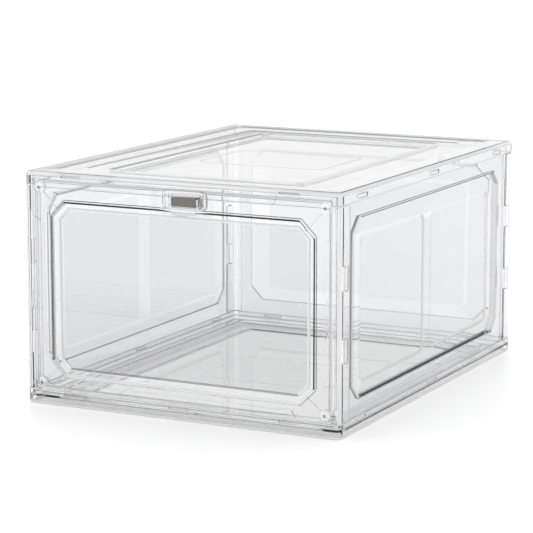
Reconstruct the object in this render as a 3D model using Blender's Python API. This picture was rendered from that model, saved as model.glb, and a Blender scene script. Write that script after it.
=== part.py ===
# Clear shoe storage box with a drop-down front door, in metres, +Z up.
# The front faces -Y, and the origin is the middle of the underside.
# Every wall is a thin moulding whose faces are drawn as rings of a rounded or cut-cornered
# rectangle, one ring for each fold of the surface, and joined into one closed skin.

import bpy
import bmesh
from math import cos, sin, sqrt, pi
from mathutils import Vector

# The whole box
BOX_WIDTH = 0.273
BOX_DEPTH = 0.352
BOX_HEIGHT = 0.185
WALL = 0.002
CLEARANCE = 0.0003
CORNER_RADIUS = 0.005
EDGE_ROUND = 0.0012
OVERRUN = 0.001
CORNER_STEPS = 4
EDGE_STEPS = 4
ROUND_STEPS = 20
SMOOTH_LIMIT = pi / 5

# Top tray: skirt, flat rim, two shallow steps and a sunk pane
TOP_ROUND = 0.003
TOP_SKIRT = 0.010
TOP_FRONT_SKIRT = 0.005
TOP_RIM = 0.017
TOP_LEDGE = 0.017
TOP_DROP = 0.0004
TOP_PANE_SIDE = 0.0537
TOP_PANE_END = 0.0405
TOP_PANE_CUT = 0.004
TOP_RECESS = 0.004
STEP_RUN = 0.0014
WALL_DRAFT = 0.0004

# Base tray: skirt, rail that stands on the table, raised gutter and sunk floor
BASE_ROUND = 0.0022
BASE_SKIRT = 0.0116
BASE_RAIL = 0.0034
BASE_GUTTER = 0.0166
BASE_GUTTER_HEIGHT = 0.0056
BASE_LEDGE = 0.0140
BASE_LEDGE_HEIGHT = 0.0014

# Raised oblong bead in the middle of both trays, on the side that faces into the box
BEAD_WIDTH = 0.114
BEAD_DEPTH = 0.084
BEAD_RADIUS = 0.010
BEAD_BAND = 0.0016
BEAD_RISE = 0.0005

# Eight-sided pans of the side walls and the back wall, and the sunk windows in them
PAN_MARGIN = 0.0136
PAN_END_MARGIN = 0.0283
BACK_PAN_MARGIN = 0.0220
PAN_CUT = 0.0115
PAN_DEPTH = 0.0032
WINDOW_MARGIN_ALONG = 0.017
WINDOW_SILL = 0.009
WINDOW_HEAD = 0.0142
WINDOW_CUT = 0.005
WINDOW_BEVEL = 0.0026
WINDOW_DEPTH = 0.0010
RIB_WIDTH = 0.0140

# Snap tongues on the walls and rails, and the windows that they stand in
TONGUE_LENGTH = 0.016
TONGUE_HEIGHT = 0.0029
TONGUE_BEVEL = 0.0004
TONGUE_SKIRT_SHARE = 0.37
POST_TONGUE_LENGTH = 0.018
POST_TONGUE_DEPTH = 0.005
POST_TONGUE_SPREAD = 0.0545
SIDE_TONGUE_SPREAD = 0.276
END_TONGUE_SPREAD = 0.188
BASE_TONGUE_HEIGHT = 0.0017

# Front frame
POST_FACE = 0.0082
POST_RETURN = 0.016
STOP_LIP_BACK = 0.008
STOP_LIP = 0.004
RAIL_OVER_MAGNET = 0.0026
RAIL_FLANGE = 0.0015
RAIL_FLANGE_REACH = 0.0158
BOTTOM_RAIL_HEIGHT = 0.0115
LIP_LIFT = 0.0049

# Back wall
BACK_POST_FACE = 0.010

# Hinge line of the door, measured from the front face and the door's lower edge
HINGE_DEPTH = 0.0034
HINGE_RISE = 0.004
PEG_RADIUS = 0.0015
PEG_LENGTH = 0.0027
PEG_ROOT = 0.001

# Door
DOOR_SIDE_GAP = 0.0005
DOOR_LOW_GAP = 0.001
DOOR_TOP_GAP = 0.0015
DOOR_FACE = 0.0017
DOOR_BACK = 0.0056
DOOR_CORNER = 0.004
DOOR_PAN_MARGIN = 0.0151
DOOR_PAN_SILL = 0.0120
DOOR_PAN_HEAD = 0.0169
DOOR_PAN_CUT = 0.0115
DOOR_PAN_STEP = 0.0032
DOOR_PAN_BAND = 0.0042
DOOR_PAN_BEVEL = 0.0016
DOOR_PAN_DEPTH = 0.0040

# Raised rims, corner bosses and ribs of the door
RIM_FACE = 0.0008
RIM_WIDTH = 0.005
RIM_SETBACK = 0.0010
RIM_END_SLOPE = 0.003
SIDE_RIM_SILL = 0.0254
SIDE_RIM_HEAD = 0.0285
TOP_RIM_LENGTH = 0.166
BOTTOM_RIM_LENGTH = 0.198
BOSS_RADIUS = 0.0045
BOSS_INSET = 0.0048
BOSS_FACE = 0.0010
DIMPLE_RADIUS = 0.0011
DIMPLE_DEPTH = 0.0007
DOOR_RIB_WIDTH = 0.0018
DOOR_RIB_FACE = 0.0011

# Handle tab, a little right of the middle, and the magnets behind each other
HANDLE_OFFSET = 0.0050
HANDLE_WIDTH = 0.038
HANDLE_HEIGHT = 0.0149
HANDLE_TOP_GAP = 0.0006
HANDLE_FACE = 0.0003
HANDLE_CORNER = 0.0048
HANDLE_FRONT_WALL = 0.0012
GRIP_WIDTH = 0.023
GRIP_DROP = 0.0046
GRIP_THICKNESS = 0.0014
GRIP_FACE = 0.0006
MAGNET_WIDTH = 0.0215
MAGNET_HEIGHT = 0.0068
MAGNET_THICKNESS = 0.003
MAGNET_DROP = 0.0085
CORE_WIDTH = 0.0040
CORE_HEIGHT = 0.0105
KEEPER_WALL = 0.0016
KEEPER_FRONT = 0.0060
KEEPER_FRONT_WALL = 0.0012

FRONT = -BOX_DEPTH / 2
SIDE = BOX_WIDTH / 2
PLATE_FACE = SIDE - WALL - CLEARANCE
TOP_UNDERSIDE = BOX_HEIGHT - WALL
GUTTER_FLOOR = BASE_GUTTER_HEIGHT + WALL
PLATE_LOW = GUTTER_FLOOR + CLEARANCE
PLATE_HIGH = TOP_UNDERSIDE - CLEARANCE
POST_LOW = BASE_SKIRT + CLEARANCE
POST_HIGH = BOX_HEIGHT - TOP_SKIRT - CLEARANCE
PAN_MIDDLE = (BASE_SKIRT + BOX_HEIGHT - TOP_SKIRT) / 2
OPENING_SIDE = SIDE - POST_FACE
DOOR_LOW = BASE_SKIRT + DOOR_LOW_GAP
DOOR_HIGH = BOX_HEIGHT - TOP_FRONT_SKIRT - DOOR_TOP_GAP
DOOR_PAN_LOW = DOOR_LOW + DOOR_PAN_SILL
DOOR_PAN_HIGH = DOOR_HIGH - DOOR_PAN_HEAD
HINGE_HEIGHT = DOOR_LOW + HINGE_RISE
HANDLE_HIGH = DOOR_HIGH - HANDLE_TOP_GAP
HANDLE_LOW = HANDLE_HIGH - HANDLE_HEIGHT
MAGNET_MIDDLE = HANDLE_HIGH - MAGNET_DROP
TOP_RAIL_LOW = MAGNET_MIDDLE + RAIL_OVER_MAGNET
RAIL_SPAN = BOX_WIDTH - (POST_FACE - WALL) * 2


# Three ways to lay a drawing: flat, facing the front and facing the side
def flat(u, v, level):
    return (u, v, level)


def facing_front(u, v, level):
    return (u, level, v)


def facing_side(u, v, level):
    return (level, u, v)


# Points of a rectangle whose corners are rounded, or cut straight when arc is False
def ring(width, height, corner, centre=(0, 0), arc=True):
    points = []
    signs = ((1, 1), (-1, 1), (-1, -1), (1, -1))
    for turn, (side_u, side_v) in enumerate(signs):
        middle_u = centre[0] + side_u * (width / 2 - corner)
        middle_v = centre[1] + side_v * (height / 2 - corner)
        start = turn * pi / 2
        for step in range(CORNER_STEPS + 1):
            share = step / CORNER_STEPS
            angle = start + share * pi / 2
            round_u, round_v = cos(angle), sin(angle)
            cut_u = cos(start) * (1 - share) + cos(start + pi / 2) * share
            cut_v = sin(start) * (1 - share) + sin(start + pi / 2) * share
            out_u, out_v = (round_u, round_v) if arc else (cut_u, cut_v)
            points.append((middle_u + corner * out_u, middle_v + corner * out_v))
    return points


# An eight-sided outline drawn a little inside or outside another, with its sides kept parallel
def pan_ring(width, height, cut, inset, centre):
    inner_cut = cut - inset * (2 - sqrt(2))
    return ring(width - inset * 2, height - inset * 2, inner_cut, centre, arc=False)


def circle(radius, centre=(0, 0)):
    turns = [pi * (2 * step + 1) / ROUND_STEPS for step in range(ROUND_STEPS)]
    return [(centre[0] + radius * cos(turn), centre[1] + radius * sin(turn)) for turn in turns]


# One closed skin through rings of equal count, each a list of points and a level.
# Folds along a ring stay sharp, and round corners between the rings are smooth.
def add_skin(mesh, rings, lay):
    rows = [[mesh.verts.new(lay(u, v, level)) for u, v in points] for points, level in rings]
    count = len(rows[0])
    for row, following in zip(rows, rows[1:]):
        for step in range(count):
            after = (step + 1) % count
            mesh.faces.new((row[step], row[after], following[after], following[step]))
    mesh.faces.new(rows[0])
    mesh.faces.new(rows[-1])
    for row in rows:
        for step in range(count):
            mesh.edges.get((row[step], row[(step + 1) % count])).smooth = False


def make_object(name, skins, lay, material=None):
    mesh = bmesh.new()
    for rings in skins:
        add_skin(mesh, rings, lay)
    bmesh.ops.recalc_face_normals(mesh, faces=mesh.faces)
    for face in mesh.faces:
        face.smooth = True
    for edge in mesh.edges:
        edge.smooth = edge.smooth and edge.calc_face_angle() < SMOOTH_LIMIT
    data = bpy.data.meshes.new(name)
    mesh.to_mesh(data)
    mesh.free()
    result = bpy.data.objects.new(name, data)
    bpy.context.collection.objects.link(result)
    if material:
        data.materials.append(material)
    return result


def prism(outline, low, high):
    return [(outline, low), (outline, high)]


def combine(piece, tool, operation):
    tool.hide_render = True
    tool.display_type = 'WIRE'
    step = piece.modifiers.new(tool.name, 'BOOLEAN')
    step.object = tool
    step.operation = operation
    step.solver = 'EXACT'


def add_to(piece, name, skins, lay):
    combine(piece, make_object(name, skins, lay), 'UNION')


def cut_from(piece, name, skins, lay):
    combine(piece, make_object(name, skins, lay), 'DIFFERENCE')


def plastic(name):
    material = bpy.data.materials.new(name)
    material.use_nodes = True
    shader = material.node_tree.nodes['Principled BSDF']
    shader.inputs['Base Color'].default_value = (0.93, 0.95, 0.96, 1)
    shader.inputs['Roughness'].default_value = 0.06
    shader.inputs['Metallic'].default_value = 0
    shader.inputs['IOR'].default_value = 1.49
    shader.inputs['Transmission Weight'].default_value = 1
    return material


def magnet_coating(name):
    material = bpy.data.materials.new(name)
    material.use_nodes = True
    shader = material.node_tree.nodes['Principled BSDF']
    shader.inputs['Base Color'].default_value = (0.23, 0.20, 0.17, 1)
    shader.inputs['Roughness'].default_value = 0.45
    shader.inputs['Metallic'].default_value = 0.3
    return material


# Snap tongues: a tapered block on a wall, and the window that leaves a clearance round it
def tongue(length, height, centre, root, face):
    tip = ring(length - TONGUE_BEVEL * 2, height - TONGUE_BEVEL * 2, TONGUE_BEVEL, centre)
    shoulder = face + (root - face) * TONGUE_SKIRT_SHARE
    full = ring(length, height, TONGUE_BEVEL, centre)
    return [(full, root), (full, shoulder), (tip, face)]


def window(length, height, centre, low, high):
    outline = ring(length + CLEARANCE * 2, height + CLEARANCE * 2, TONGUE_BEVEL, centre)
    return prism(outline, low, high)


TOP_TONGUE_MIDDLE = BOX_HEIGHT - TOP_SKIRT + CLEARANCE + TONGUE_HEIGHT / 2 + WALL
BASE_TONGUE_MIDDLE = PLATE_LOW + CLEARANCE * 3 + BASE_TONGUE_HEIGHT / 2
FRONT_TOP_TONGUE_MIDDLE = PLATE_HIGH - RAIL_FLANGE / 2
SIDE_PLACES = [-SIDE_TONGUE_SPREAD / 2, 0, SIDE_TONGUE_SPREAD / 2]
END_PLACES = [-END_TONGUE_SPREAD / 2, END_TONGUE_SPREAD / 2]
POST_PLACES = [PAN_MIDDLE - POST_TONGUE_SPREAD / 2, PAN_MIDDLE + POST_TONGUE_SPREAD / 2]
POST_TONGUE_MIDDLE = (CORNER_RADIUS + POST_RETURN) / 2


def inset_ring(inset, corner):
    return ring(BOX_WIDTH - inset * 2, BOX_DEPTH - inset * 2, corner)


# The oblong bead as three more rings on a pane, at the given level
def bead_rings(level, rise):
    inner = (BEAD_WIDTH - BEAD_BAND * 2, BEAD_DEPTH - BEAD_BAND * 2, BEAD_RADIUS - BEAD_BAND)
    crest = (BEAD_WIDTH - BEAD_BAND, BEAD_DEPTH - BEAD_BAND, BEAD_RADIUS - BEAD_BAND / 2)
    return [
        (ring(BEAD_WIDTH, BEAD_DEPTH, BEAD_RADIUS), level),
        (ring(*crest), level + rise),
        (ring(*inner), level),
    ]


def cut_side_windows(tray, name, middle, height):
    skins = []
    for place in SIDE_PLACES:
        for side in (-1, 1):
            low = side * (SIDE - WALL - OVERRUN)
            high = side * (SIDE + OVERRUN)
            skins.append(window(TONGUE_LENGTH, height, (place, middle), low, high))
    cut_from(tray, name, skins, facing_side)


def cut_end_windows(tray, name, places, middle, height, end):
    low = end * (BOX_DEPTH / 2 - WALL - OVERRUN)
    high = end * (BOX_DEPTH / 2 + OVERRUN)
    skins = [window(TONGUE_LENGTH, height, (place, middle), low, high) for place in places]
    cut_from(tray, name, skins, facing_front)


# Rings over a tray's rounded outer edge, from the skirt to the flat face at the level
def edge_rings(rounding, level, up):
    turns = [pi / 2 * step / EDGE_STEPS for step in range(EDGE_STEPS + 1)]
    rings = []
    for turn in turns:
        inset = rounding * (1 - cos(turn))
        rings.append((inset_ring(inset, CORNER_RADIUS - inset), level - up * rounding * (1 - sin(turn))))
    return rings


# Top tray: up the skirt, over the rim, down to the pane, and back under by one wall
def build_top_panel():
    skirt_low = BOX_HEIGHT - TOP_SKIRT
    pane_width = BOX_WIDTH - TOP_PANE_SIDE * 2
    pane_depth = BOX_DEPTH - TOP_PANE_END * 2
    pane_level = BOX_HEIGHT - TOP_RECESS
    outside = [(inset_ring(0, CORNER_RADIUS), skirt_low)] + edge_rings(TOP_ROUND, BOX_HEIGHT, 1)
    inside = [
        (inset_ring(WALL, CORNER_RADIUS - WALL), skirt_low),
        (inset_ring(WALL, CORNER_RADIUS - WALL), TOP_UNDERSIDE),
    ]
    for count, place in enumerate((TOP_RIM, TOP_RIM + TOP_LEDGE)):
        level = BOX_HEIGHT - TOP_DROP * count
        outside.append((inset_ring(place, CORNER_RADIUS), level))
        outside.append((inset_ring(place + STEP_RUN, CORNER_RADIUS), level - TOP_DROP))
    mouth_level = BOX_HEIGHT - TOP_DROP * 2
    for inset, level in ((0, mouth_level), (WALL_DRAFT, pane_level)):
        outside.append((pan_ring(pane_width, pane_depth, TOP_PANE_CUT, inset, (0, 0)), level))
    for inset, level in ((-WALL, TOP_UNDERSIDE), (WALL_DRAFT - WALL, pane_level - WALL)):
        inside.append((pan_ring(pane_width, pane_depth, TOP_PANE_CUT, inset, (0, 0)), level))
    inside += bead_rings(pane_level - WALL, -BEAD_RISE)
    rings = outside[::-1] + inside
    tray = make_object('top_panel', [rings], flat, plastic('top_panel_plastic'))
    notch = ring(OPENING_SIDE * 2, TOP_SKIRT * 2 - TOP_FRONT_SKIRT * 2, CLEARANCE, (0, skirt_low))
    notch_skin = prism(notch, FRONT - OVERRUN, FRONT + WALL + OVERRUN)
    cut_from(tray, 'top_door_notch', [notch_skin], facing_front)
    cut_side_windows(tray, 'top_side_windows', TOP_TONGUE_MIDDLE, TONGUE_HEIGHT)
    cut_end_windows(tray, 'top_back_windows', END_PLACES, TOP_TONGUE_MIDDLE, TONGUE_HEIGHT, 1)
    cut_end_windows(tray, 'top_front_windows', END_PLACES, FRONT_TOP_TONGUE_MIDDLE, RAIL_FLANGE, -1)
    return tray


# Base tray: the same, upside down, with a rail under the skirt and a gutter inside it
def build_base_panel():
    ledge_start = BASE_RAIL + BASE_GUTTER
    floor_start = ledge_start + BASE_LEDGE
    outside = [(inset_ring(0, CORNER_RADIUS), BASE_SKIRT)] + edge_rings(BASE_ROUND, 0, -1) + [
        (inset_ring(BASE_RAIL, CORNER_RADIUS / 2), 0),
        (inset_ring(BASE_RAIL, CORNER_RADIUS / 2), BASE_GUTTER_HEIGHT),
        (inset_ring(ledge_start - STEP_RUN, CORNER_RADIUS), BASE_GUTTER_HEIGHT),
        (inset_ring(ledge_start, CORNER_RADIUS), BASE_LEDGE_HEIGHT),
        (inset_ring(floor_start - STEP_RUN, CORNER_RADIUS), BASE_LEDGE_HEIGHT),
        (inset_ring(floor_start, CORNER_RADIUS), 0),
    ]
    inside = [
        (inset_ring(WALL, CORNER_RADIUS - WALL), BASE_SKIRT),
        (inset_ring(WALL, CORNER_RADIUS - WALL), GUTTER_FLOOR),
        (inset_ring(ledge_start, CORNER_RADIUS), GUTTER_FLOOR),
        (inset_ring(ledge_start + STEP_RUN, CORNER_RADIUS), BASE_LEDGE_HEIGHT + WALL),
        (inset_ring(floor_start, CORNER_RADIUS), BASE_LEDGE_HEIGHT + WALL),
        (inset_ring(floor_start + STEP_RUN, CORNER_RADIUS), WALL),
    ]
    inside += bead_rings(WALL, BEAD_RISE)
    tray = make_object('base_panel', [outside[::-1] + inside], flat, plastic('base_panel_plastic'))
    cut_side_windows(tray, 'base_side_windows', BASE_TONGUE_MIDDLE, BASE_TONGUE_HEIGHT)
    cut_end_windows(tray, 'base_back_windows', END_PLACES, BASE_TONGUE_MIDDLE, BASE_TONGUE_HEIGHT, 1)
    front_places = END_PLACES + [0]
    cut_end_windows(tray, 'base_front_windows', front_places, BASE_TONGUE_MIDDLE, BASE_TONGUE_HEIGHT, -1)
    return tray


# A wall plate with an eight-sided pan pressed inwards; face is its outer level
def pan_plate(width, pan_width, pan_height, face, inward):
    back = face + inward * WALL
    height = PLATE_HIGH - PLATE_LOW
    plate = ring(width, height, EDGE_ROUND, (0, (PLATE_HIGH + PLATE_LOW) / 2))

    def pan(inset):
        return pan_ring(pan_width, pan_height, PAN_CUT, inset, (0, PAN_MIDDLE))

    return [
        (pan(WALL_DRAFT), face + inward * PAN_DEPTH),
        (pan(0), face),
        (plate, face),
        (plate, back),
        (pan(-WALL), back),
        (pan(WALL_DRAFT - WALL), back + inward * PAN_DEPTH),
    ]


# Windows sunk into the pan, with sloping borders and cut corners
def sink_windows(wall, name, width, height, places, level, inward, lay):
    skins = []
    for place in places:
        centre = (place, PAN_MIDDLE + (WINDOW_SILL - WINDOW_HEAD) / 2)
        mouth = pan_ring(width, height, WINDOW_CUT, 0, centre)
        floor = pan_ring(width, height, WINDOW_CUT, WINDOW_BEVEL, centre)
        above = level - inward * OVERRUN
        skins.append([(mouth, above), (mouth, level), (floor, level + inward * WINDOW_DEPTH)])
    cut_from(wall, name + '_windows', skins, lay)


def build_side_panel(name, side):
    width = BOX_DEPTH - (CORNER_RADIUS + CLEARANCE) * 2
    pan_width = BOX_DEPTH - PAN_END_MARGIN * 2
    pan_height = BOX_HEIGHT - TOP_SKIRT - BASE_SKIRT - PAN_MARGIN * 2
    face = side * PLATE_FACE
    rings = pan_plate(width, pan_width, pan_height, face, -side)
    wall = make_object(name, [rings], facing_side, plastic(name + '_plastic'))
    window_width = (pan_width - WINDOW_MARGIN_ALONG * 2 - RIB_WIDTH) / 2
    window_height = pan_height - WINDOW_SILL - WINDOW_HEAD
    spread = (window_width + RIB_WIDTH) / 2
    level = face - side * PAN_DEPTH
    sink_windows(wall, name, window_width, window_height, [-spread, spread], level, -side, facing_side)
    root = face - side * CLEARANCE
    tip = side * (SIDE - CLEARANCE)
    skins = []
    for place in SIDE_PLACES:
        skins.append(tongue(TONGUE_LENGTH, TONGUE_HEIGHT, (place, TOP_TONGUE_MIDDLE), root, tip))
        skins.append(tongue(TONGUE_LENGTH, BASE_TONGUE_HEIGHT, (place, BASE_TONGUE_MIDDLE), root, tip))
    for place in POST_PLACES:
        for end in (-1, 1):
            middle = (end * (BOX_DEPTH / 2 - POST_TONGUE_MIDDLE), place)
            skins.append(tongue(POST_TONGUE_DEPTH, POST_TONGUE_LENGTH, middle, root, tip))
    add_to(wall, name + '_tongues', skins, facing_side)
    return wall


# Windows for the walls' tongues in the returns of a post pair
def cut_post_windows(piece, name, end):
    skins = []
    for side in (-1, 1):
        low = side * (SIDE - WALL - OVERRUN)
        high = side * (SIDE + OVERRUN)
        for place in POST_PLACES:
            middle = (end * (BOX_DEPTH / 2 - POST_TONGUE_MIDDLE), place)
            skins.append(window(POST_TONGUE_DEPTH, POST_TONGUE_LENGTH, middle, low, high))
    cut_from(piece, name, skins, facing_side)


# Plan of a corner post: round the outer corner, then back inside it by one wall.
# Sizes run inwards from the corner; end is -1 at the front and 1 at the back.
def post_outline(side, end, inner):
    def corner_arc(radius):
        turns = [pi / 2 * step / CORNER_STEPS for step in range(CORNER_STEPS + 1)]
        return [(CORNER_RADIUS - radius * cos(turn), CORNER_RADIUS - radius * sin(turn)) for turn in turns]
    outer = corner_arc(CORNER_RADIUS)
    inside = corner_arc(CORNER_RADIUS - WALL)[::-1]
    points = [(0, POST_RETURN)] + outer + inner + inside + [(WALL, POST_RETURN)]
    return [(side * (SIDE - x), end * (BOX_DEPTH / 2 - y)) for x, y in points]


# Back wall: pan plate between two corner posts with returns
def build_back_panel():
    back_face = BOX_DEPTH / 2 - WALL - CLEARANCE
    width = BOX_WIDTH - (BACK_POST_FACE - WALL) * 2
    pan_width = BOX_WIDTH - BACK_PAN_MARGIN * 2
    pan_height = BOX_HEIGHT - TOP_SKIRT - BASE_SKIRT - PAN_MARGIN * 2
    rings = pan_plate(width, pan_width, pan_height, back_face, -1)
    wall = make_object('back_panel', [rings], facing_front, plastic('back_panel_plastic'))
    window_width = pan_width - WINDOW_MARGIN_ALONG * 2
    window_height = pan_height - WINDOW_SILL - WINDOW_HEAD
    level = back_face - PAN_DEPTH
    sink_windows(wall, 'back_panel', window_width, window_height, [0], level, -1, facing_front)
    step_in = WALL * 2 + CLEARANCE
    inner = [
        (BACK_POST_FACE, 0),
        (BACK_POST_FACE, step_in),
        (BACK_POST_FACE - WALL, step_in),
        (BACK_POST_FACE - WALL, WALL),
    ]
    for side, label in ((-1, 'left'), (1, 'right')):
        post = prism(post_outline(side, 1, inner), POST_LOW, POST_HIGH)
        add_to(wall, 'back_post_' + label, [post], flat)
    cut_post_windows(wall, 'back_post_windows', 1)
    root = back_face - CLEARANCE
    tip = BOX_DEPTH / 2 - CLEARANCE
    skins = []
    for place in END_PLACES:
        skins.append(tongue(TONGUE_LENGTH, TONGUE_HEIGHT, (place, TOP_TONGUE_MIDDLE), root, tip))
        skins.append(tongue(TONGUE_LENGTH, BASE_TONGUE_HEIGHT, (place, BASE_TONGUE_MIDDLE), root, tip))
    add_to(wall, 'back_tongues', skins, facing_front)
    return wall


# Front frame: two posts with a stop lip, an angled rail above and a flat rail below
def build_front_frame():
    wall_in = POST_FACE - WALL
    frame_plastic = plastic('front_frame_plastic')
    rail_front = FRONT + WALL + CLEARANCE
    web_front = FRONT + STOP_LIP_BACK - WALL
    web_back = FRONT + STOP_LIP_BACK
    flange_low = PLATE_HIGH - RAIL_FLANGE
    top_rail = [
        (web_front, TOP_RAIL_LOW),
        (web_back, TOP_RAIL_LOW),
        (web_back, flange_low),
        (FRONT + RAIL_FLANGE_REACH, flange_low),
        (FRONT + RAIL_FLANGE_REACH, PLATE_HIGH),
        (rail_front, PLATE_HIGH),
        (rail_front, flange_low),
        (web_front, flange_low),
    ]
    rail_skin = prism(top_rail, -RAIL_SPAN / 2, RAIL_SPAN / 2)
    frame = make_object('front_frame', [rail_skin], facing_side, frame_plastic)
    bottom_rail = [
        (rail_front, BOTTOM_RAIL_HEIGHT - WALL),
        (FRONT + POST_RETURN, BOTTOM_RAIL_HEIGHT - WALL),
        (FRONT + POST_RETURN, BOTTOM_RAIL_HEIGHT),
        (rail_front, BOTTOM_RAIL_HEIGHT),
    ]
    core = [
        (wall_in, WALL + CLEARANCE),
        (POST_FACE, WALL + CLEARANCE),
        (POST_FACE, STOP_LIP_BACK - WALL),
        (POST_FACE + STOP_LIP, STOP_LIP_BACK - WALL),
        (POST_FACE + STOP_LIP, STOP_LIP_BACK),
        (wall_in, STOP_LIP_BACK),
    ]
    shell_inner = [
        (POST_FACE, 0),
        (POST_FACE, STOP_LIP_BACK - EDGE_ROUND),
        (wall_in, STOP_LIP_BACK - EDGE_ROUND),
        (wall_in, WALL),
    ]
    for side, label in ((-1, 'left'), (1, 'right')):
        plan = [(side * (SIDE - x), FRONT + y) for x, y in core]
        post_core = prism(plan, BOTTOM_RAIL_HEIGHT - WALL + EDGE_ROUND, PLATE_HIGH - EDGE_ROUND)
        add_to(frame, 'post_core_' + label, [post_core], flat)
        shell = prism(post_outline(side, -1, shell_inner), POST_LOW, POST_HIGH)
        add_to(frame, 'post_shell_' + label, [shell], flat)
        lip_cut = ring(
            (STOP_LIP + OVERRUN) * 2,
            (HINGE_HEIGHT + LIP_LIFT - BOTTOM_RAIL_HEIGHT) * 2,
            CLEARANCE,
            (side * (OPENING_SIDE - STOP_LIP - OVERRUN), BOTTOM_RAIL_HEIGHT),
        )
        lip_skin = prism(lip_cut, web_front - OVERRUN, web_back + OVERRUN)
        cut_from(frame, 'lip_relief_' + label, [lip_skin], facing_front)
    rail_skin = prism(bottom_rail, -RAIL_SPAN / 2, RAIL_SPAN / 2)
    add_to(frame, 'bottom_rail', [rail_skin], facing_side)
    holes = []
    for side in (-1, 1):
        hole = circle(PEG_RADIUS + CLEARANCE, (FRONT + HINGE_DEPTH, HINGE_HEIGHT))
        near = side * (OPENING_SIDE - OVERRUN)
        far = side * (OPENING_SIDE + WALL + OVERRUN)
        holes.append(prism(hole, near, far))
    cut_from(frame, 'hinge_holes', holes, facing_side)
    cut_post_windows(frame, 'front_post_windows', -1)
    root = FRONT + WALL + CLEARANCE * 2
    tip = FRONT + CLEARANCE
    skins = []
    for place in END_PLACES:
        skins.append(tongue(TONGUE_LENGTH, RAIL_FLANGE, (place, FRONT_TOP_TONGUE_MIDDLE), root, tip))
    for place in END_PLACES + [0]:
        skins.append(tongue(TONGUE_LENGTH, BASE_TONGUE_HEIGHT, (place, BASE_TONGUE_MIDDLE), root, tip))
    add_to(frame, 'front_tongues', skins, facing_front)
    outer_width = MAGNET_WIDTH + (CLEARANCE + KEEPER_WALL) * 2
    outer_height = MAGNET_HEIGHT + (CLEARANCE + KEEPER_WALL) * 2
    keeper_back = FRONT + KEEPER_FRONT + KEEPER_FRONT_WALL + CLEARANCE + MAGNET_THICKNESS
    holder = ring(outer_width, outer_height, KEEPER_WALL, (HANDLE_OFFSET, MAGNET_MIDDLE))
    add_to(frame, 'magnet_holder', [prism(holder, FRONT + KEEPER_FRONT, keeper_back)], facing_front)
    pocket = magnet_outline(CLEARANCE)
    pocket_skin = prism(pocket, FRONT + KEEPER_FRONT + KEEPER_FRONT_WALL, keeper_back + OVERRUN)
    cut_from(frame, 'magnet_holder_pocket', [pocket_skin], facing_front)
    return frame


def magnet_outline(clearance):
    width = MAGNET_WIDTH + clearance * 2
    height = MAGNET_HEIGHT + clearance * 2
    return ring(width, height, EDGE_ROUND, (HANDLE_OFFSET, MAGNET_MIDDLE))


def build_magnet(name, front):
    skin = prism(magnet_outline(0), FRONT + front, FRONT + front + MAGNET_THICKNESS)
    return make_object(name, [skin], facing_front, magnet_coating(name + '_coating'))


# A raised rim along one edge of the door, with sloping ends, drawn along u
def rim_outline(start, end, edge, inward):
    return [
        (start, edge),
        (end, edge),
        (end - RIM_END_SLOPE, edge + inward * RIM_WIDTH),
        (start + RIM_END_SLOPE, edge + inward * RIM_WIDTH),
    ]


def add_door_rims(door, half_width):
    face, root = FRONT + RIM_FACE, FRONT + DOOR_FACE + CLEARANCE
    top_edge = DOOR_HIGH - RIM_SETBACK
    bottom_edge = DOOR_LOW + RIM_SETBACK
    side_low = DOOR_LOW + SIDE_RIM_SILL
    side_high = DOOR_HIGH - SIDE_RIM_HEAD
    upright = [(v, u) for u, v in rim_outline(side_low, side_high, half_width - RIM_SETBACK, -1)]
    left_upright = [(-u, v) for u, v in upright]
    outlines = [
        rim_outline(-TOP_RIM_LENGTH / 2, TOP_RIM_LENGTH / 2, top_edge, -1),
        rim_outline(-BOTTOM_RIM_LENGTH / 2, BOTTOM_RIM_LENGTH / 2, bottom_edge, 1),
        upright,
        left_upright,
    ]
    add_to(door, 'door_rims', [prism(outline, face, root) for outline in outlines], facing_front)


# Corner bosses with a dimple, and a rib from each to the cut corner of the pan
def add_door_bosses(door, half_width, half_pan):
    boss_x = half_width - BOSS_INSET
    half_cut = DOOR_PAN_CUT / 2
    bosses, ribs, dimples = [], [], []
    for side in (-1, 1):
        for boss_z, pan_z, up in (
            (DOOR_HIGH - BOSS_INSET - RIM_SETBACK, DOOR_PAN_HIGH - half_cut, -1),
            (DOOR_LOW + BOSS_INSET, DOOR_PAN_LOW + half_cut, 1),
        ):
            centre = (side * boss_x, boss_z)
            bosses.append(prism(circle(BOSS_RADIUS, centre), FRONT + BOSS_FACE, FRONT + DOOR_BACK - CLEARANCE))
            dimples.append([
                (circle(DIMPLE_RADIUS, centre), FRONT + BOSS_FACE - OVERRUN),
                (circle(DIMPLE_RADIUS, centre), FRONT + BOSS_FACE),
                (circle(DIMPLE_RADIUS / 2, centre), FRONT + BOSS_FACE + DIMPLE_DEPTH),
            ])
            reach = Vector((side * (half_pan - half_cut), pan_z)) - Vector(centre)
            across = Vector((-reach.y, reach.x)).normalized() * DOOR_RIB_WIDTH / 2
            start, end = Vector(centre), Vector(centre) + reach
            outline = [start - across, end - across, end + across, start + across]
            ribs.append(prism(outline, FRONT + DOOR_RIB_FACE, FRONT + DOOR_FACE + WALL - CLEARANCE))
    add_to(door, 'door_bosses', bosses, facing_front)
    add_to(door, 'door_ribs', ribs, facing_front)
    cut_from(door, 'door_dimples', dimples, facing_front)


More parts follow.
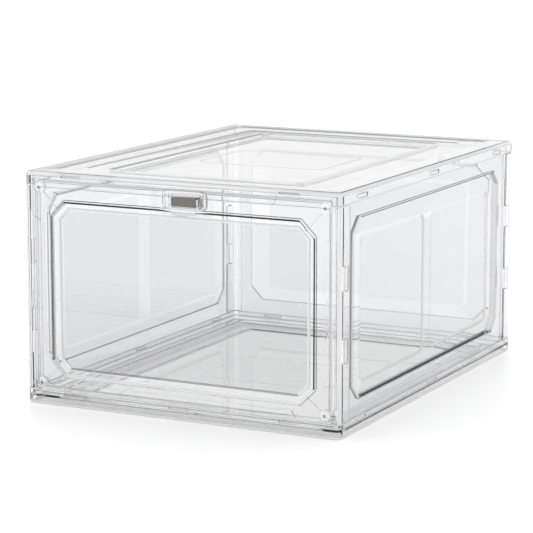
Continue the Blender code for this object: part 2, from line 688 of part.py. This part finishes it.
# Handle tab with the magnet pocket, two cored hollows and the finger grip under it
def add_handle(door):
    middle = (HANDLE_OFFSET, (HANDLE_LOW + HANDLE_HIGH) / 2)
    soft_corner = HANDLE_CORNER - EDGE_ROUND / 2
    tab = ring(HANDLE_WIDTH, HANDLE_HEIGHT, HANDLE_CORNER, middle)
    soft = ring(HANDLE_WIDTH - EDGE_ROUND, HANDLE_HEIGHT - EDGE_ROUND, soft_corner, middle)
    back = FRONT + DOOR_BACK
    tab_skin = [
        (soft, FRONT + HANDLE_FACE),
        (tab, FRONT + HANDLE_FACE + EDGE_ROUND / 2),
        (tab, back - CLEARANCE),
    ]
    add_to(door, 'handle_tab', [tab_skin], facing_front)
    grip_turns = [pi * step / ROUND_STEPS for step in range(ROUND_STEPS + 1)]
    grip = [
        (HANDLE_OFFSET - GRIP_WIDTH / 2 * cos(turn), HANDLE_LOW + CLEARANCE - GRIP_DROP * sin(turn))
        for turn in grip_turns
    ]
    grip_skin = prism(grip, FRONT + GRIP_FACE, FRONT + GRIP_FACE + GRIP_THICKNESS + WALL)
    add_to(door, 'finger_grip', [grip_skin], facing_front)
    pocket = prism(magnet_outline(CLEARANCE), FRONT + HANDLE_FACE + HANDLE_FRONT_WALL, back + OVERRUN)
    core_out = (HANDLE_WIDTH - WALL * 2 - CORE_WIDTH) / 2
    skins = [pocket]
    for side in (-1, 1):
        place = (HANDLE_OFFSET + side * core_out, MAGNET_MIDDLE)
        core = ring(CORE_WIDTH, CORE_HEIGHT, CORE_WIDTH / 4, place)
        skins.append(prism(core, FRONT + HANDLE_FACE + WALL, back + OVERRUN))
    cut_from(door, 'handle_pockets', skins, facing_front)


# Door: an eight-sided pan in a flat border with a wall round its edge
def build_door():
    half_width = OPENING_SIDE - DOOR_SIDE_GAP
    half_pan = half_width - DOOR_PAN_MARGIN
    middle = (0, (DOOR_LOW + DOOR_HIGH) / 2)
    width, height = half_width * 2, DOOR_HIGH - DOOR_LOW
    pan_middle = (0, (DOOR_PAN_LOW + DOOR_PAN_HIGH) / 2)
    pan_height = DOOR_PAN_HIGH - DOOR_PAN_LOW
    face, back = FRONT + DOOR_FACE, FRONT + DOOR_BACK

    def border(inset):
        return ring(width - inset * 2, height - inset * 2, DOOR_CORNER - inset, middle)

    def pan(inset):
        return pan_ring(half_pan * 2, pan_height, DOOR_PAN_CUT, inset, pan_middle)

    rings = [
        (pan(DOOR_PAN_BAND + DOOR_PAN_BEVEL), face + DOOR_PAN_DEPTH),
        (pan(DOOR_PAN_BAND), face + DOOR_PAN_STEP),
        (pan(WALL_DRAFT), face + DOOR_PAN_STEP),
        (pan(0), face),
        (border(EDGE_ROUND), face),
        (border(0), face + EDGE_ROUND),
        (border(0), back),
        (border(WALL), back),
        (border(WALL), face + WALL),
        (pan(-WALL), face + WALL),
        (pan(WALL_DRAFT - WALL), face + WALL + DOOR_PAN_STEP),
        (pan(DOOR_PAN_BAND), face + WALL + DOOR_PAN_STEP),
        (pan(DOOR_PAN_BAND + DOOR_PAN_BEVEL), face + WALL + DOOR_PAN_DEPTH),
    ]
    door = make_object('door', [rings], facing_front, plastic('door_plastic'))
    add_door_rims(door, half_width)
    add_handle(door)
    pegs = []
    for side in (-1, 1):
        start = side * (half_width - PEG_ROOT)
        end = side * (half_width + PEG_LENGTH)
        pegs.append(prism(circle(PEG_RADIUS, (FRONT + HINGE_DEPTH, HINGE_HEIGHT)), start, end))
    add_to(door, 'hinge_pegs', pegs, facing_side)
    add_door_bosses(door, half_width, half_pan)
    return door


# Moves an object's origin without moving its surface
def set_origin(piece, point):
    for vertex in piece.data.vertices:
        vertex.co -= point
    piece.location = point


for existing in list(bpy.data.objects):
    bpy.data.objects.remove(existing)

build_base_panel()
build_top_panel()
build_side_panel('left_panel', -1)
build_side_panel('right_panel', 1)
build_back_panel()
build_front_frame()
door_piece = build_door()
door_magnet = build_magnet('door_magnet', HANDLE_FACE + HANDLE_FRONT_WALL + CLEARANCE)
build_magnet('frame_magnet', KEEPER_FRONT + KEEPER_FRONT_WALL + CLEARANCE)

hinge_point = Vector((0, FRONT + HINGE_DEPTH, HINGE_HEIGHT))
magnet_point = Vector((HANDLE_OFFSET, FRONT + DOOR_BACK, MAGNET_MIDDLE))
set_origin(door_piece, hinge_point)
set_origin(door_magnet, magnet_point)
door_magnet.parent = door_piece
door_magnet.location = magnet_point - hinge_point
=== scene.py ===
# Clear storage box with a drop-down front door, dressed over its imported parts
import bpy
import bmesh
from math import radians, sin, cos
from mathutils import Matrix, Vector


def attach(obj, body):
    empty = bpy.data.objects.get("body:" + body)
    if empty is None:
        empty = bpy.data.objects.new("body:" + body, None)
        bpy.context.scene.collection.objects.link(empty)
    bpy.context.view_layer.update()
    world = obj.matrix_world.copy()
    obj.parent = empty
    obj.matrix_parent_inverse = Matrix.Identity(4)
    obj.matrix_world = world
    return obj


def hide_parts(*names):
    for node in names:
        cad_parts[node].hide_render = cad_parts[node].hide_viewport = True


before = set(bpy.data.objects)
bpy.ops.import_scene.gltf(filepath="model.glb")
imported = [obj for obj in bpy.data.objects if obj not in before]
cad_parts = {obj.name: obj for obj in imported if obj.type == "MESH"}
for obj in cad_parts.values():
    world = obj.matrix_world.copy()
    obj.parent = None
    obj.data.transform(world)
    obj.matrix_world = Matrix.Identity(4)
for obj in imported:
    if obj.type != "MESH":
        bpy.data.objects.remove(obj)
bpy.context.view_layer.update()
scene = bpy.context.scene
scene.view_settings.view_transform = 'Standard'
bounces = 32    # light crosses many clear walls
scene.cycles.max_bounces = bounces
scene.cycles.transmission_bounces = bounces
scene.cycles.transparent_max_bounces = bounces


# A shader value that can be used in a sum
class Value:
    def __init__(self, tree, socket):
        self.tree = tree
        self.socket = socket

    def math(self, kind, other, flip=False):
        node = self.tree.nodes.new('ShaderNodeMath')
        node.operation = kind
        pair = [other, self] if flip else [self, other]
        for slot, item in zip(node.inputs, pair):
            feed(self.tree, slot, item)
        return Value(self.tree, node.outputs[0])

    def __add__(self, other):
        return self.math('ADD', other)

    def __radd__(self, other):
        return self.math('ADD', other, True)

    def __sub__(self, other):
        return self.math('SUBTRACT', other)

    def __rsub__(self, other):
        return self.math('SUBTRACT', other, True)

    def __mul__(self, other):
        return self.math('MULTIPLY', other)

    def __rmul__(self, other):
        return self.math('MULTIPLY', other, True)

    def capped(self):
        result = self.math('ADD', 0)
        result.socket.node.use_clamp = True
        return result


def feed(tree, slot, item):
    if isinstance(item, Value):
        tree.links.new(item.socket, slot)
    else:
        slot.default_value = item


# One material's node tree, and the nodes made in it
class Shader:
    def __init__(self, name):
        self.material = bpy.data.materials.new(name)
        self.material.use_nodes = True
        self.tree = self.material.node_tree
        self.surface = self.tree.nodes['Principled BSDF']

    def node(self, kind, settings, sockets, out=0):
        made = self.tree.nodes.new('ShaderNode' + kind)
        for key, item in settings.items():
            setattr(made, key, item)
        for key, item in sockets.items():
            feed(self.tree, made.inputs[key], item)
        return Value(self.tree, made.outputs[out])

    def noise(self, pattern):
        place = self.node('TexCoord', {}, {}, out='Object')
        sockets = {'Scale': pattern['scale'], 'Detail': pattern['detail'], 'Roughness': pattern['rough']}
        return self.node('TexNoise', {}, {'Vector': place, **sockets})

    def blend(self, amount, first, second):    # a Mix node's colours are its sockets 6 and 7, and out 2
        return self.node('Mix', {'data_type': 'RGBA'}, {0: amount, 6: first, 7: second}, out=2)

    def set(self, **sockets):
        for key, item in sockets.items():
            name = ' '.join(word.capitalize() for word in key.split('_'))
            feed(self.tree, self.surface.inputs[name.replace('Ior', 'IOR')], item)


# Clear moulded plastic, hazy here and there: 'deep' is what the haze leaves of the tint, 'rough' the
# plain roughness and what the haze adds, 'clear' the share that lets light through, 'bend' the index of
# refraction. Skins that hardly bend light are for edges, which then read as lines and don't trap it. The
# white skin is a painted highlight, the grey, dark and shade skins are painted shade, and the misty skin
# is hazy plastic painted pale as a highlight.
haze = {'scale': 9, 'detail': 2, 'rough': 0.4, 'from': 0.35}
plastics = {
    'bars': {'tint': (0.97, 0.97, 0.975), 'deep': 0.99, 'rough': (0, 0.01), 'clear': 0.99, 'bend': 1.49},
    'clear': {'tint': (1, 1, 1), 'deep': 0.99, 'rough': (0, 0.01), 'clear': 1, 'bend': 1.49},
    'panes': {'tint': (0.8, 0.803, 0.81), 'deep': 0.985, 'rough': (0, 0.01), 'clear': 1, 'bend': 1.49},
    'shade': {'tint': (0.88, 0.88, 0.885), 'deep': 0.98, 'rough': (0, 0.05), 'clear': 1, 'bend': 1.49},
    'hazeAndPaintedPale': {'tint': (1, 1, 1), 'deep': 0.99, 'rough': (0, 0.1), 'clear': 0.6, 'bend': 1.49},
    'paintedGlint': {'tint': (1, 1, 1), 'deep': 0.99, 'rough': (0.1, 0.1), 'clear': 0.25, 'bend': 1.03},
    'paintedGreyShade': {'tint': (0.55, 0.55, 0.56), 'deep': 0.95, 'rough': (0.1, 0.1), 'clear': 0.8, 'bend': 1.01},
    'paintedDarkShade': {'tint': (0.02, 0.02, 0.021), 'deep': 0.95, 'rough': (0.1, 0.1), 'clear': 0.2, 'bend': 1.004},
}


def clearPlastic(name, kind):
    shader = Shader(name)
    cloud = (shader.noise(haze) - haze['from']).capped()
    deeper = [share * kind['deep'] for share in kind['tint']]
    plain, added = kind['rough']
    shader.set(
        base_color=shader.blend(cloud, (*kind['tint'], 1), (*deeper, 1)),
        roughness=plain + cloud * added,
        ior=kind['bend'],
        transmission_weight=kind['clear'],
    )
    return shader.material


plasticNames = list(plastics)
plasticSkins = [clearPlastic(name, kind) for name, kind in plastics.items()]


# Magnets: a mottled, pitted dark coating
magnet = {
    'low': (0.2, 0.175, 0.15, 1), 'high': (0.27, 0.24, 0.21, 1), 'metal': 0.6,
    'grain': {'scale': 900, 'detail': 4, 'rough': 0.7}, 'cloud': {'scale': 120, 'detail': 2, 'rough': 0.5},
    'rough': 0.38, 'roughGrain': 0.2, 'pitting': 0.2, 'pitDepth': 0.0001,
}


def magnetCoat():
    shader = Shader('magnetCoat')
    grain = shader.noise(magnet['grain'])
    pits = {'Height': grain, 'Strength': magnet['pitting'], 'Distance': magnet['pitDepth']}
    shader.set(
        base_color=shader.blend(shader.noise(magnet['cloud']), magnet['low'], magnet['high']),
        roughness=magnet['rough'] + grain * magnet['roughGrain'],
        metallic=magnet['metal'],
        normal=shader.node('Bump', {}, pits),
    )
    return shader.material


magnetSkin = magnetCoat()
print('materials ready')


# The nearest side of an eight-sided pan, and how far outside it a point lies
def nearOutline(u, v, pan):
    u, v = u - pan['middle'][0], v - pan['middle'][1]
    slant = 0.5 ** 0.5
    corner = (sum(pan['half']) - pan['cut']) * slant
    sides = {
        'right': (1, 0, pan['half'][0]), 'left': (-1, 0, pan['half'][0]),
        'top': (0, 1, pan['half'][1]), 'bottom': (0, -1, pan['half'][1]),
        'topRight': (slant, slant, corner), 'topLeft': (-slant, slant, corner),
        'bottomRight': (slant, -slant, corner), 'bottomLeft': (-slant, -slant, corner),
    }
    gap, side = max((u * across + v * along - reach, side) for side, (across, along, reach) in sides.items())
    return side, gap


def between(value, limits):
    return limits[0] < value < limits[1]


# How squarely a face looks along an axis
facing = {'flat': 0.995, 'sloping': (0.6, 0.98), 'square': 0.9}


# Door: lengths in metres, gaps measured out from the mouth of its pan. Its lips are painted dark shade above
# and at the right, painted grey shade at the left and painted white highlights below; its ledge is hazy and
# painted pale as a highlight; its ribs and dimples are drawn in with painted shade; the lower slope of its
# step is painted grey shade and the other slopes painted white highlights; its front border wears painted
# shade.
door = {
    'pan': {'middle': (0, 0.0931), 'half': (0.1127, 0.0685), 'cut': 0.0115},
    'lips': {'top': 'paintedDarkShade', 'topRight': 'paintedDarkShade', 'right': 'paintedDarkShade', 'left': 'paintedGreyShade', 'topLeft': 'paintedGreyShade'},
    'lip': 0.0012, 'rightLip': 0.0016, 'lipDepth': (-0.1747, -0.1702),
    'ledge': (-0.0043, -0.0003), 'step': (-0.0064, -0.0038), 'wall': (0.0008, 0.003), 'wallFront': -0.173,
    'tabMiddle': 0.005, 'tabReach': 0.017, 'tabEdge': 0.05, 'tabClear': 0.021, 'tabLow': 0.1,
    'tabCuts': (-0.0165, 0.0265), 'face': -0.1743, 'faceNear': 0.0005, 'borderEdge': 0.03,
    'ribFrom': 0.0015, 'ribSlant': 0.15, 'dimpleFrom': 0.12, 'dimpleEdge': 0.0012, 'dimpleTilt': (0.5, 0.7),
    'rightShare': 1.8, 'shortEdge': 0.0019,
}


def doorSkin(spot, way, reach, flat, thin):
    side, gap = nearOutline(spot.x, spot.z, door['pan'])
    inDimple = abs(spot.x) > door['dimpleFrom'] and reach < door['dimpleEdge']
    if inDimple and between(abs(way.y), door['dimpleTilt']):
        return 'paintedDarkShade'
    if thin and gap > door['ribFrom'] and min(abs(way.x), abs(way.z)) > door['ribSlant']:
        return 'paintedGreyShade'
    onTab = abs(spot.x - door['tabMiddle']) < door['tabReach'] and reach < door['tabEdge'] and not thin
    inLip = abs(gap) < door['rightLip' if side == 'right' else 'lip'] and between(spot.y, door['lipDepth'])
    if inLip and not flat and not onTab:
        return door['lips'].get(side, 'paintedGlint')
    if between(gap, door['ledge']) and way.y < -facing['square'] and spot.y < door['lipDepth'][1]:
        return 'hazeAndPaintedPale'
    if between(gap, door['step']) and abs(way.y) < facing['sloping'][1]:
        return 'paintedGreyShade' if side == 'bottom' else 'paintedGlint'
    if between(gap, door['wall']) and spot.y > door['wallFront']:
        return 'bars'
    if flat and spot.y < door['face'] + door['faceNear'] and reach > door['borderEdge']:
        return 'shade'
    return None


# Side walls: painted grey shade on the lips above and below the pan, painted white highlights on the ones
# at its ends and on the slopes round the sunk panes, and painted shade where those slopes face down. The
# left wall is seen from inside, where the painted white highlights would turn grey, so its folds stay
# glassy.
sideWall = {
    'pan': {'middle': (0, 0.0933), 'half': (0.1477, 0.0681), 'cut': 0.0115},
    'lip': 0.0012, 'lipFrom': 0.1305, 'face': 0.1335, 'wall': (0.0012, 0.003), 'slopesTo': -0.006,
}


def wallSkin(spot, way, reach, flat, thin):
    sloping = between(abs(way.x), facing['sloping'])
    if spot.x < 0 and (thin or sloping):
        return 'bars'
    side, gap = nearOutline(spot.y, spot.z, sideWall['pan'])
    if abs(gap) < sideWall['lip'] and abs(spot.x) > sideWall['lipFrom'] and not flat:
        return 'paintedGreyShade' if side in ('top', 'bottom') else 'paintedGlint'
    if between(gap, sideWall['wall']):
        return 'bars'
    if sloping and gap < sideWall['slopesTo']:
        return 'shade' if abs(way.z) > abs(way.y) and way.z < 0 else 'paintedGlint'
    return None


# Back wall: glassy folds
def backSkin(spot, way, reach, flat, thin):
    return 'bars' if thin or between(abs(way.y), facing['sloping']) else None


# Base tray: glassy folds inside its skirt
base = {'inside': (0.134, 0.173)}


def baseSkin(spot, way, reach, flat, thin):
    inside = abs(spot.x) < base['inside'][0] and abs(spot.y) < base['inside'][1]
    return 'bars' if thin and inside else None


# Front surround: painted white highlights on the corner strips of both posts
surround = {'cornerFrom': 0.1325, 'even': 0.35, 'forward': 0.3}


def surroundSkin(spot, way, reach, flat, thin):
    diagonal = abs(abs(way.x) - abs(way.y)) < surround['even'] and way.y < -surround['forward']
    return 'paintedGlint' if diagonal and abs(spot.x) > surround['cornerFrom'] else None


# Top tray: a thin painted grey shade line round the upper edge, painted white highlights on the facets at
# the corners
lid = {'upper': 0.182, 'upward': 0.85, 'corner': 0.3, 'thin': 0.0013}


def lidSkin(spot, way, reach, flat, thin):
    if thin and way.z > lid['upward'] and spot.z > lid['upper']:
        return 'paintedGreyShade'
    onCorner = abs(way.z) < lid['corner'] and min(abs(way.x), abs(way.y)) > lid['corner']
    return 'paintedGlint' if onCorner and not thin else None


skinRules = {
    'door': doorSkin, 'left_panel': wallSkin, 'right_panel': wallSkin, 'back_panel': backSkin,
    'base_panel': baseSkin, 'front_frame': surroundSkin, 'top_panel': lidSkin,
}
# The top tray's wide panes wear the shade skin, a painted shade tint
widePanes = {'base_panel': 'clear', 'top_panel': 'shade'}
faceSizes = {'thin': 0.0009, 'wide': 0.004}    # a width in metres and an area in square metres


def edgeLength(mesh, loop):
    start, end = mesh.edges[mesh.loops[loop].edge_index].vertices
    return (mesh.vertices[start].co - mesh.vertices[end].co).length


# The plastic that a face wears: its piece's own rule, then wide panes, thin edges, which get a painted white
# highlight, and plain bars
def skinOf(mesh, face, node):
    reach = max(edgeLength(mesh, loop) for loop in face.loop_indices)
    spot, way = face.center, face.normal
    flat = max(abs(way.x), abs(way.y), abs(way.z)) > facing['flat']
    thin = face.area / reach < (lid['thin'] if node == 'top_panel' else faceSizes['thin']) and not flat
    found = skinRules[node](spot, way, reach, flat, thin)
    if found:
        return found
    if face.area > faceSizes['wide']:
        return widePanes.get(node, 'panes')
    return 'paintedGlint' if thin else 'bars'


# The front edge of a pan is rounded more than the rest, and most at the right of the door
mouth = {'size': 0.001, 'near': 0.0006, 'longEdge': 0.004}


def mouthShare(spot, node):
    if node == 'door':
        nearTab = abs(spot.x - door['tabMiddle']) < door['tabClear'] and spot.z > door['tabLow']
        side, gap = nearOutline(spot.x, spot.z, door['pan'])
        if abs(gap) > mouth['near'] or abs(spot.y - door['face']) > door['faceNear'] or nearTab:
            return 0
        return door['rightShare'] if side == 'right' else 1
    if node in ('left_panel', 'right_panel'):
        gap = nearOutline(spot.y, spot.z, sideWall['pan'])[1]
        return 1 if abs(gap) < mouth['near'] and abs(spot.x) > sideWall['face'] else 0
    return 0


# Gives a sharp edge as much rounding as its faces and neighbours leave room for. The door's small
# arcs and bosses stay crisp, and it is cut beside its tab, where the wide rounding of the pan ends.
def markEdges(piece, finish, node):
    mesh = bmesh.new()
    mesh.from_mesh(piece.data)
    weight = mesh.edges.layers.float.new('bevel_weight_edge')
    for cut in (door['tabCuts'] if node == 'door' else ()):
        parts = mesh.verts[:] + mesh.edges[:] + mesh.faces[:]
        bmesh.ops.bisect_plane(mesh, geom=parts, plane_co=(cut, 0, 0), plane_no=(1, 0, 0))
    for edge in mesh.edges:
        length = edge.calc_length()
        onArc = node == 'door' and length < door['shortEdge']
        if len(edge.link_faces) != 2 or edge.calc_face_angle() <= finish['sharp'] or onArc:
            continue
        share = mouthShare((edge.verts[0].co + edge.verts[1].co) / 2, node)
        if share and length > mouth['longEdge']:
            edge[weight] = mouth['size'] * share / finish['round']
            continue
        room = [face.calc_area() / length for face in edge.link_faces]
        room += [near.calc_length() for end in edge.verts for near in end.link_edges if near != edge]
        edge[weight] = min(finish['edge'], min(room) * finish['fill']) / finish['round']
    mesh.to_mesh(piece.data)
    mesh.free()


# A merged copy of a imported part, its flat faces made whole again and its edges rounded;
# 'round' is the widest rounding in metres, 'edge' the plain one, 'fill' its share of the room there is
moulded = {'round': 0.002, 'steps': 3, 'sharp': radians(25), 'edge': 0.0005, 'fill': 0.35}
block = {'round': 0.001, 'steps': 2, 'sharp': radians(25), 'edge': 0.0003, 'fill': 0.35}
cleaning = {'merge': 0.00001, 'level': radians(1), 'smooth': radians(50), 'evenness': 100}


def soften(name, piece, finish, skins):
    bpy.ops.object.select_all(action='DESELECT')
    copy = bpy.data.objects.new(piece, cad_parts[name].data.copy())
    scene.collection.objects.link(copy)
    copy.data.materials.clear()
    for skin in skins:
        copy.data.materials.append(skin)
    copy.select_set(True)
    bpy.context.view_layer.objects.active = copy
    bpy.ops.object.mode_set(mode='EDIT')
    bpy.ops.mesh.select_all(action='SELECT')
    bpy.ops.mesh.remove_doubles(threshold=cleaning['merge'])
    bpy.ops.mesh.dissolve_limited(angle_limit=cleaning['level'])
    bpy.ops.object.mode_set(mode='OBJECT')
    markEdges(copy, finish, name)
    edges = copy.modifiers.new('edges', 'BEVEL')
    edges.limit_method = 'WEIGHT'
    edges.width = finish['round']
    edges.segments = finish['steps']
    edges.use_clamp_overlap = False
    edges.loop_slide = False
    bpy.ops.object.modifier_apply(modifier='edges')
    bpy.ops.object.shade_smooth_by_angle(angle=cleaning['smooth'])
    even = copy.modifiers.new('even', 'WEIGHTED_NORMAL')
    even.weight = cleaning['evenness']
    even.keep_sharp = True
    bpy.ops.object.modifier_apply(modifier='even')
    return copy


pieces = {
    'base_panel': ('baseTray', 'box'),
    'top_panel': ('topTray', 'box'),
    'left_panel': ('leftWall', 'box'),
    'right_panel': ('rightWall', 'box'),
    'back_panel': ('backWall', 'box'),
    'front_frame': ('frontSurround', 'box'),
    'door': ('dropDoor', 'front_door'),
    'door_magnet': ('doorMagnet', 'front_door'),
    'frame_magnet': ('frameMagnet', 'box'),
}
for node, (piece, body) in pieces.items():
    if 'magnet' in node:
        made = soften(node, piece, block, [magnetSkin])
    else:
        made = soften(node, piece, moulded, plasticSkins)
        for face in made.data.polygons:
            face.material_index = plasticNames.index(skinOf(made.data, face, node))
    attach(made, body)
    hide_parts(node)
    print(piece, len(made.data.polygons))


# Studio: white all round, and a white floor that keeps the shadow
studio = {'floorSize': 8, 'floorTint': 0.9, 'floorRough': 0.35, 'floorGlow': 0.29, 'skyStrength': 1}


def whiteGround():
    shader = Shader('whiteGround')
    rays = ('Is Camera Ray', 'Is Glossy Ray', 'Is Transmission Ray')
    seen = sum(shader.node('LightPath', {}, {}, out=ray) for ray in rays).capped()
    shader.set(
        base_color=(studio['floorTint'], studio['floorTint'], studio['floorTint'], 1),
        roughness=studio['floorRough'],
        emission_color=(1, 1, 1, 1),
        emission_strength=seen * studio['floorGlow'],
    )
    return shader.material


bpy.ops.object.select_all(action='DESELECT')
bpy.ops.mesh.primitive_plane_add(size=studio['floorSize'])
ground = bpy.context.object
ground.name = 'ground'
ground.data.materials.append(whiteGround())
sky = bpy.data.worlds.new('sky')
sky.use_nodes = True
backdrop = sky.node_tree.nodes['Background']
backdrop.inputs['Color'].default_value = (1, 1, 1, 1)
backdrop.inputs['Strength'].default_value = studio['skyStrength']
scene.world = sky


# Camera, as the photograph was taken
view = {
    'side': radians(26.751), 'height': radians(10.266), 'lens': 151.49, 'near': 0.01,
    'centre': (0, 0, 0.0925), 'away': 1.8543, 'right': -0.01176, 'up': -0.00072,
}
az, el = view['side'], view['height']
back = Vector((sin(az) * cos(el), -cos(az) * cos(el), sin(el)))
right = Vector((cos(az), sin(az), 0))
up = back.cross(right)
spot = Vector(view['centre']) + back * view['away'] + right * view['right'] + up * view['up']
camera = bpy.data.objects.new('camera', bpy.data.cameras.new('camera'))
scene.collection.objects.link(camera)
camera.data.lens = view['lens']
camera.data.clip_start = view['near']
camera.matrix_world = Matrix.Translation(spot) @ Matrix((right, up, back)).transposed().to_4x4()
scene.camera = camera
print('studio ready')
